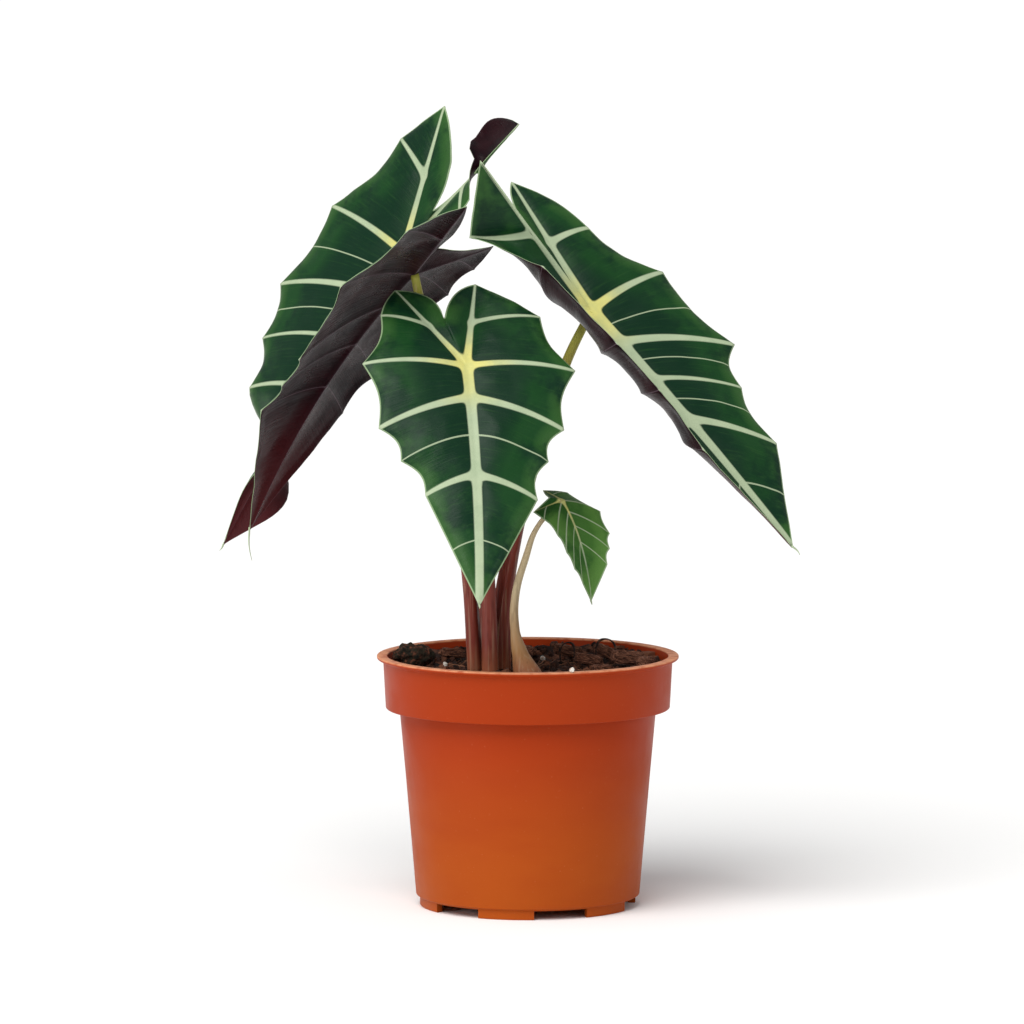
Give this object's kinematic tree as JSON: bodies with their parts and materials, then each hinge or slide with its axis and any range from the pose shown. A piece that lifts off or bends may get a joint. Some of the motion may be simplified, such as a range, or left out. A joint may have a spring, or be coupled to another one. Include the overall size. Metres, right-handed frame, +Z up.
{
  "type": "potted alocasia",
  "caption": "House plant with arrow-shaped, pale-veined dark green leaves on slender stalks, growing in potting mix in a round tapered nursery pot with a wide collar.",
  "frame": {"origin": "centre of the flat pad under the pot, on the pot's axis, in the plane that the pot stands on", "axes": "+Z up along the pot's axis; -Y is the side with the front leaf, and +X is the side that the right-hand leaf leans to"},
  "size_m": [0.2278, 0.2015, 0.3147],
  "materials": {
    "pot": "satin terracotta-coloured plastic",
    "potting_mix": "crumbly dark potting mix",
    "corm": "rough brown rootstock",
    "stalk": "smooth reddish-brown stalk",
    "pale_stalk": "smooth pale tan stalk",
    "blade": "waxy dark green with pale veins, dark purple underneath",
    "young_blade": "waxy fresh green with pale veins",
    "moss": "crumbly dark moss",
    "bark": "rough bark chips",
    "root": "thin dry root ends",
    "perlite": "chalky white grains"
  },
  "bodies": {
    "root": {"pot": "pot", "potting_mix": "potting_mix", "corm": "corm", "petiole_front": "stalk", "petiole_right": "stalk", "petiole_left_back": "stalk", "petiole_left_front": "stalk", "petiole_small": "pale_stalk", "leaf_front": "blade", "leaf_right": "blade", "leaf_left_back": "blade", "leaf_left_front": "blade", "leaf_small": "young_blade", "moss_clump": "moss", "bark_chip_1": "bark", "bark_chip_2": "bark", "bark_chip_3": "bark", "bark_chip_4": "bark", "bark_chip_5": "bark", "bark_chip_6": "bark", "bark_chip_7": "bark", "bark_chip_8": "bark", "root_arch_1": "root", "root_arch_2": "root", "perlite_1": "perlite", "perlite_2": "perlite", "perlite_3": "perlite", "perlite_4": "perlite"}
  },
  "joints": []
}
